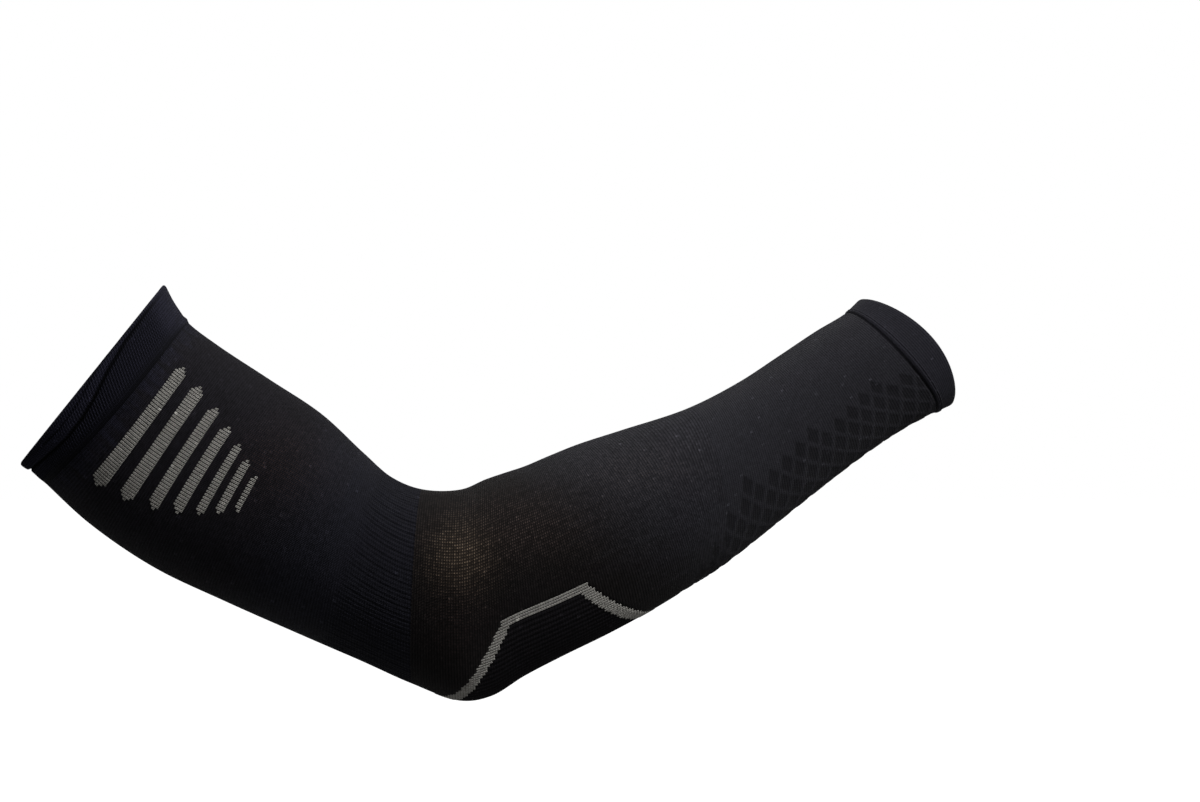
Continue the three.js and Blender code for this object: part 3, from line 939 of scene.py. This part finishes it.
def roll_shade(station, share):
    """The turned edge lies in its own shade low on the outer side."""
    from_rim = course_at(station) * COURSE_PITCH
    from_front = np.abs(share - 0.5)
    crease_at = np.interp(from_front, FROM_FRONT, CREASE_PLACES)
    below = smoothstep((from_front - SHADE_START) / SHADE_FADE)
    in_roll = smoothstep((crease_at - ROLL_SHADOW - from_rim) / SHADE_EDGE)
    return SHADE_DEPTH * below * in_roll


cuff_rows = tube_rows(
    STATION["opening"], station_at(CUFF_LAST), 60, CUFF_LIFT, CUFF_WALL, round_first=True
)
cuff = knit_tube(
    "biceps_cuff_ribs", cuff_rows, WALES * 5, cuff_relief, CUFF_RIB, roll_shade
)
finish_piece(cuff, CUFF, "cuff_rib", "biceps_cuff")
declare_sheet(cuff, 0, CUFF_LAST, ["upper_arm_knit"])

# %% [markdown]
# ## The upper arm
# Plain knit, with a motif of seven grey bars that get shorter and thinner towards the elbow.
# Each bar is knitted in along whole courses, so its ends step from stitch to stitch.

# %% Upper arm
def faded_ribs(station, share):
    """The cuff's ribs run out in the first courses of the plain knit."""
    course = course_at(station)
    near = 1 - smoothstep((course - CUFF_LAST) * COURSE_PITCH / CUFF_FADE)
    return FAINT_RIB * near * (np.cos(2 * math.pi * share * WALES) - 1)


arm_rows = tube_rows(station_at(CUFF_LAST), station_at(RIB_FIRST), 84, 0, KNIT_WALL, 20)
upper_arm = knit_tube(
    "upper_arm_plain_knit", arm_rows, WALES * 2, faded_ribs, 4 * FAINT_RIB
)
finish_piece(upper_arm, PLAIN, "plain_knit", "upper_arm_knit")

# %% Grey bars on the upper arm
MOTIF_WALE = 52
MOTIF_COURSE = 24
BARS = [(5, 5, 23), (5, 5, 21), (4, 4, 18), (4, 4, 15), (3, 3, 12), (3, 3, 9), (2, 0, 6)]
bar_courses, bar_wales = [], []
course = MOTIF_COURSE
for thick, space, half_length in BARS:
    for step in range(thick):
        reach = half_length - abs(step - thick // 2)
        row = np.arange(MOTIF_WALE - reach, MOTIF_WALE + reach)
        bar_wales.append(row)
        bar_courses.append(np.full(len(row), course + step))
    course += thick + space
bar_courses, bar_wales = np.concatenate(bar_courses), np.concatenate(bar_wales)
bars = v_stitches("grey_bars", bar_courses, bar_wales, 0.1 * MM)
finish_piece(bars, GREY, "grey_yarn")
declare_sheet(upper_arm, CUFF_LAST, RIB_FIRST, ["biceps_cuff", "elbow_rib_band"],
              with_pieces=[bars])

# %% [markdown]
# ## The elbow
# Above the elbow lies a band of thicker lengthwise ribs, which start softly and end at a line.
# The bend pulls them round the crook, so they curve, and some stand up more than others.
# A cosine with a shifted phase and a slowly changing height makes both.

# %% Elbow ribs
ELBOW_RIBS = 128
ELBOW_RIB = 0.45 * MM
RIB_FADE = 11 * MM
FRONT_DELAY = 9 * MM
RIB_BEND = 2.4
RIB_GROUPS = 47
GROUP_LENGTH = 34 * MM


def elbow_rib_relief(station, share):
    band = STATION["mesh_start"] - STATION["rib_start"]
    left = (STATION["mesh_start"] - station) / band
    rib = share * ELBOW_RIBS - RIB_BEND * left ** 2 * np.sin(2 * math.pi * share)
    group = 0.75 + 0.25 * np.sin(2 * math.pi * (share * RIB_GROUPS + station / GROUP_LENGTH))
    wave = 0.5 * group * (np.cos(2 * math.pi * rib) - 1)
    begun = station - STATION["rib_start"] - FRONT_DELAY * (1 - np.cos(2 * math.pi * share)) / 2
    return ELBOW_RIB * wave * smoothstep(begun / RIB_FADE)


rib_rows = tube_rows(station_at(RIB_FIRST), station_at(MESH_FIRST), 30, 0, KNIT_WALL)
ribs = knit_tube("elbow_ribs", rib_rows, ELBOW_RIBS * 6, elbow_rib_relief, ELBOW_RIB)
finish_piece(ribs, RIB, "elbow_rib", "elbow_rib_band")
declare_sheet(ribs, RIB_FIRST, MESH_FIRST, ["upper_arm_knit", "elbow_mesh"])

# %% [markdown]
# Below the ribs the knit turns into an open mesh. A close, dark patch covers the elbow's point,
# framed by a grey stripe. The frame is a kite with two flat corners. We measure how deep each
# stitch lies inside its outline, and that depth says which yarn the stitch is knitted in.

# %% The outline of the elbow patch
CORNERS = [(-0.054, 0), (0.087, 0.403), (0.23, 0.396), (0.334, 0)]


def patch_corner(at, turn):
    """Course and wale of a corner that lies a share of the forearm along and a half turn round."""
    station = at * FORE_LENGTH
    row = np.searchsorted(station_grid, station)
    share = np.interp(turn * math.pi, ANGLE_OF_SHARE[row], share_grid)
    return float(course_at(station)), float(share) * WALES


UPPER_SIDE = np.array([patch_corner(at, turn) for at, turn in CORNERS])
side_wale = UPPER_SIDE[1:3, 1].mean()
UPPER_SIDE[1:3, 1] = round(side_wale)
WALE_PITCH = float(girth_at(STATION["elbow_point"])) / WALES
STITCH_SIZE = np.array([COURSE_PITCH, WALE_PITCH])


def depth_in_patch(course, wale):
    """How far inside the stripe's outer edge the middle of a stitch lies."""
    turned = np.abs((wale / WALES + 0.5) % 1 - 0.5) * WALES
    course, turned = np.broadcast_arrays(course, turned)
    depth = np.full(course.shape, np.inf)
    for start, end in zip(UPPER_SIDE[:-1], UPPER_SIDE[1:]):
        edge = (end - start) * STITCH_SIZE
        edge = edge / np.linalg.norm(edge)
        along, across = (course - start[0]) * COURSE_PITCH, (turned - start[1]) * WALE_PITCH
        depth = np.minimum(depth, along * edge[1] - across * edge[0])
    return depth


def mesh_stitches(course, wale):
    return depth_in_patch(course, wale) < 0


def stripe_stitches(course, wale):
    depth = depth_in_patch(course, wale)
    return (depth >= 0) & (depth < STRIPE_WIDTH)


def pad_stitches(course, wale):
    return depth_in_patch(course, wale) >= STRIPE_WIDTH


print("patch corners, course and wale:", UPPER_SIDE.round(1).tolist())

# %% [markdown]
# A lattice of diamonds runs along the underside of the forearm up to the wrist, and ventilates.
# One family of its lines falls towards the wrist and the other rises. Its cells lie a little
# deeper, and only whole cells are knitted, so its border is stepped.

# %% The lattice of the underside
FALLING_PITCH, FALLING_SLOPE = 8.3, 0.75
RISING_PITCH, RISING_SLOPE = 6.5, 0.29
LATTICE_REACH = 43.0
LATTICE_START = MESH_LAST - 31.0
LATTICE_LEAN = 0.9
LATTICE_DEPTH = 0.25 * MM
LINE_START, LINE_EDGE = 0.34, 0.06


def lattice_cell(course, wale):
    """1 inside the lattice's cells, 0 on its lines and outside it."""
    from_back = np.abs((wale / WALES + 0.5) % 1 - 0.5) * WALES
    falling = (course + FALLING_SLOPE * from_back) / FALLING_PITCH
    rising = (course - RISING_SLOPE * from_back) / RISING_PITCH
    ridge = np.maximum(np.abs(falling % 1 - 0.5), np.abs(rising % 1 - 0.5))
    cell_falling = (np.floor(falling) + 0.5) * FALLING_PITCH
    cell_rising = (np.floor(rising) + 0.5) * RISING_PITCH
    cell_wale = (cell_falling - cell_rising) / (FALLING_SLOPE + RISING_SLOPE)
    cell_course = cell_falling - FALLING_SLOPE * cell_wale
    begun = cell_course > LATTICE_START + LATTICE_LEAN * cell_wale
    return (1 - smoothstep((ridge - LINE_START) / LINE_EDGE)) * begun * (cell_wale < LATTICE_REACH)


def lattice_relief(station, share):
    return -LATTICE_DEPTH * lattice_cell(course_at(station), share * WALES)


print("lattice starts at course", LATTICE_START)

# %% Open mesh, stripe and patch
STRIPE_SINK = 0.25 * MM
PAD_RIB = 0.5 * MM


def sunk_relief(station, share):
    return np.full(station.shape, -STRIPE_SINK)


def pad_relief(station, share):
    return PAD_RIB / 2 * (np.cos(math.pi * share * WALES) - 1)


open_mesh = knit_shell(
    "elbow_open_mesh", MESH_FIRST, MESH_LAST, mesh_stitches, 1, lattice_relief, KNIT_WALL,
    LATTICE_DEPTH,
)
finish_piece(open_mesh, MESH, "sheer_mesh", "elbow_mesh")

stripe = knit_shell(
    "grey_stripe", MESH_FIRST, MESH_LAST, stripe_stitches, 1, sunk_relief, KNIT_WALL
)
stripe.data.materials.append(PAD)
r, c = stitch_grid(MESH_FIRST, MESH_LAST)
in_stripe = stripe_stitches(MESH_FIRST + r + 0.5, c + 0.5)
stripe_legs = v_stitches("stripe_legs", MESH_FIRST + r[in_stripe], c[in_stripe], 0)
stripe_legs.data.materials.append(GREY)
stripe = join_pieces(stripe, stripe_legs)
finish_piece(stripe, GREY, "grey_yarn", "elbow_stripe")

pad = knit_shell(
    "elbow_patch", MESH_FIRST, MESH_LAST, pad_stitches, 2, pad_relief, PAD_WALL, PAD_RIB
)
finish_piece(pad, PAD, "patch_rib", "elbow_pad")
declare_sheet(
    open_mesh, MESH_FIRST, MESH_LAST, ["elbow_rib_band", "forearm_knit"], mesh_stitches,
    with_pieces=[stripe],
)
PAD_FIRST, PAD_LAST = (round(UPPER_SIDE[corner, 0]) for corner in (0, -1))
PAD_WALES = WALES * 0.42
declare_sheet(pad, PAD_FIRST, PAD_LAST, ["elbow_mesh"], pad_stitches, wales=PAD_WALES)

# %% [markdown]
# ## The forearm
# Plain knit again, in which the lattice goes on up to the wrist.

# %% Forearm
FOLD_DEPTH = 1.0 * MM
FOLD_WIDTH = 0.65 * MM


def low_side(share):
    """1 low on the outer side of the wrist, where the seam is tight, and less round the rest."""
    return 0.35 + 0.65 * (1 + np.cos(2 * math.pi * (share - 0.1))) / 2


def forearm_relief(station, share):
    """The lattice, and the knit dipping into the seam of the wrist cuff."""
    to_fold = (FOLD - course_at(station)) * COURSE_PITCH
    seam = np.exp(-(to_fold / FOLD_WIDTH) ** 2)
    return lattice_relief(station, share) - FOLD_DEPTH * low_side(share) * seam


fore_rows = tube_rows(station_at(MESH_LAST), station_at(FOLD), 178, 0, KNIT_WALL, 12)
forearm = knit_tube(
    "forearm_plain_knit", fore_rows, WALES * 5 // 2, forearm_relief, LATTICE_DEPTH
)
finish_piece(forearm, FOREARM, "plain_knit", "forearm_knit")
declare_sheet(forearm, MESH_LAST, FOLD, ["elbow_mesh", "wrist_cuff"])

# %% [markdown]
# ## The wrist cuff
# A double welt: the knit is folded back on itself and sewn down. That leaves a groove at the
# seam, two thin pipings beside it and a round rim.

# %% Wrist cuff
WELT_LIFT = 0.2 * MM
PIPING = 0.55 * MM
PIPING_PLACES = (1.9 * MM, 3.4 * MM)
PIPING_WIDTH = 0.45 * MM


def welt_relief(station, share):
    from_fold = (course_at(station) - FOLD) * COURSE_PITCH
    seam = np.exp(-(from_fold / FOLD_WIDTH) ** 2)
    pipings = sum(np.exp(-((from_fold - at) / PIPING_WIDTH) ** 2) for at in PIPING_PLACES)
    return low_side(share) * (PIPING * pipings - FOLD_DEPTH * seam) - WELT_LIFT * seam


welt_rows = tube_rows(
    station_at(FOLD), STATION["wrist_rim"], 48, WELT_LIFT, CUFF_WALL, round_last=True
)
welt = knit_tube("wrist_double_welt", welt_rows, WALES, welt_relief, WELT_LIFT + FOLD_DEPTH)
finish_piece(welt, WELT, "wrist_welt", "wrist_cuff")
declare_sheet(welt, FOLD, RIM_LAST, ["forearm_knit"])

# %% [markdown]
# ## Floor, light and camera
# The sleeve is shown against white. The floor looks white to the camera but throws little
# light back, so the undersides stay dark. Most light comes from above, in front and right.

# %% White surroundings
FLOOR_REACH = 12.0
FLOOR_DROP = -0.45
floor_mesh = bpy.data.meshes.new("floor")
floor_mesh.from_pydata(
    [(x, y, FLOOR_DROP) for x, y in [
        (-FLOOR_REACH, -FLOOR_REACH), (FLOOR_REACH, -FLOOR_REACH),
        (FLOOR_REACH, FLOOR_REACH), (-FLOOR_REACH, FLOOR_REACH),
    ]], [], [(0, 1, 2, 3)],
)
floor = bpy.data.objects.new("floor", floor_mesh)
bpy.context.scene.collection.objects.link(floor)
floor_paint = bpy.data.materials.new("white floor")
floor_paint.use_nodes = True
tree = floor_paint.node_tree
floor_shader = tree.nodes["Principled BSDF"]
floor_shader.inputs["Base Color"].default_value = (0.25, 0.25, 0.25, 1)
floor_shader.inputs["Roughness"].default_value = 0.9
floor_shader.inputs["Emission Strength"].default_value = 1.0
seen = tree.nodes.new("ShaderNodeLightPath").outputs["Is Camera Ray"]
tree.links.new(
    mix_colour(tree, seen, (0, 0, 0, 1), (1, 1, 1, 1)), floor_shader.inputs["Emission Color"]
)
floor.data.materials.append(floor_paint)

world = bpy.data.worlds.new("studio")
bpy.context.scene.world = world
world.use_nodes = True
tree = world.node_tree
backdrop = tree.nodes["Background"]
direction = tree.nodes.new("ShaderNodeTexCoord").outputs["Generated"]
towards_light = vector_node(tree, "DOT_PRODUCT", direction, (0.35, -0.4, 0.85))
soft_sky = math_node(tree, "MULTIPLY_ADD", ramp_node(tree, towards_light, -0.3, 1.0), 0.4, 0.015)
seen = tree.nodes.new("ShaderNodeLightPath").outputs["Is Camera Ray"]
strength = math_node(tree, "MAXIMUM", soft_sky, seen)
backdrop.inputs["Color"].default_value = (1, 1, 1, 1)
tree.links.new(strength, backdrop.inputs["Strength"])
print("world and floor are white to the camera")

# %% [markdown]
# A key lamp from the front right shapes the cloth, one above draws the bright upper edge, and
# a weak one behind keeps the far side from going black.

# %% Lamps
def soft_light(name, place, aim, size, power):
    data = bpy.data.lights.new(name, "AREA")
    data.shape = "DISK"
    data.size = size
    data.energy = power
    light = bpy.data.objects.new(name, data)
    bpy.context.scene.collection.objects.link(light)
    light.location = place
    light.rotation_mode = "QUATERNION"
    light.rotation_quaternion = (Vector(aim) - Vector(place)).to_track_quat("-Z", "Y")


SLEEVE_MIDDLE = (0.19, 0.0, -0.06)
soft_light("key", (0.85, -0.75, 0.8), (0.3, 0, 0), 0.6, 13)
soft_light("top", (0.25, 0.35, 1.1), SLEEVE_MIDDLE, 0.8, 7)
soft_light("back", (0.2, 1.3, -0.25), SLEEVE_MIDDLE, 1.4, 3)
print("lamps:", len(bpy.data.lights))

# %% [markdown]
# The camera looks square at the outer side of the sleeve. Its place and lens follow from three
# measures: how large a pixel of the reference picture is on the sleeve, where the biceps opening
# lies in that picture, and how far off the camera stands.

# %% Camera
PHOTO_WIDTH = 1200
METRES_PER_PIXEL = 0.46 * MM
CAMERA_DISTANCE = 1.4
OPENING_PIXEL = (92.5, 373.5)
FRAME_MIDDLE = (600, 401)
camera_data = bpy.data.cameras.new("camera")
camera_data.sensor_width = 36
camera_data.lens = camera_data.sensor_width * CAMERA_DISTANCE / METRES_PER_PIXEL / PHOTO_WIDTH
camera = bpy.data.objects.new("camera", camera_data)
bpy.context.scene.collection.objects.link(camera)
camera.location = (
    (FRAME_MIDDLE[0] - OPENING_PIXEL[0]) * METRES_PER_PIXEL,
    -CAMERA_DISTANCE,
    (OPENING_PIXEL[1] - FRAME_MIDDLE[1]) * METRES_PER_PIXEL,
)
camera.rotation_euler = (math.radians(90), 0, 0)
bpy.context.scene.camera = camera
bpy.context.scene.view_settings.view_transform = "Standard"
print("camera lens in mm:", round(camera_data.lens, 1))
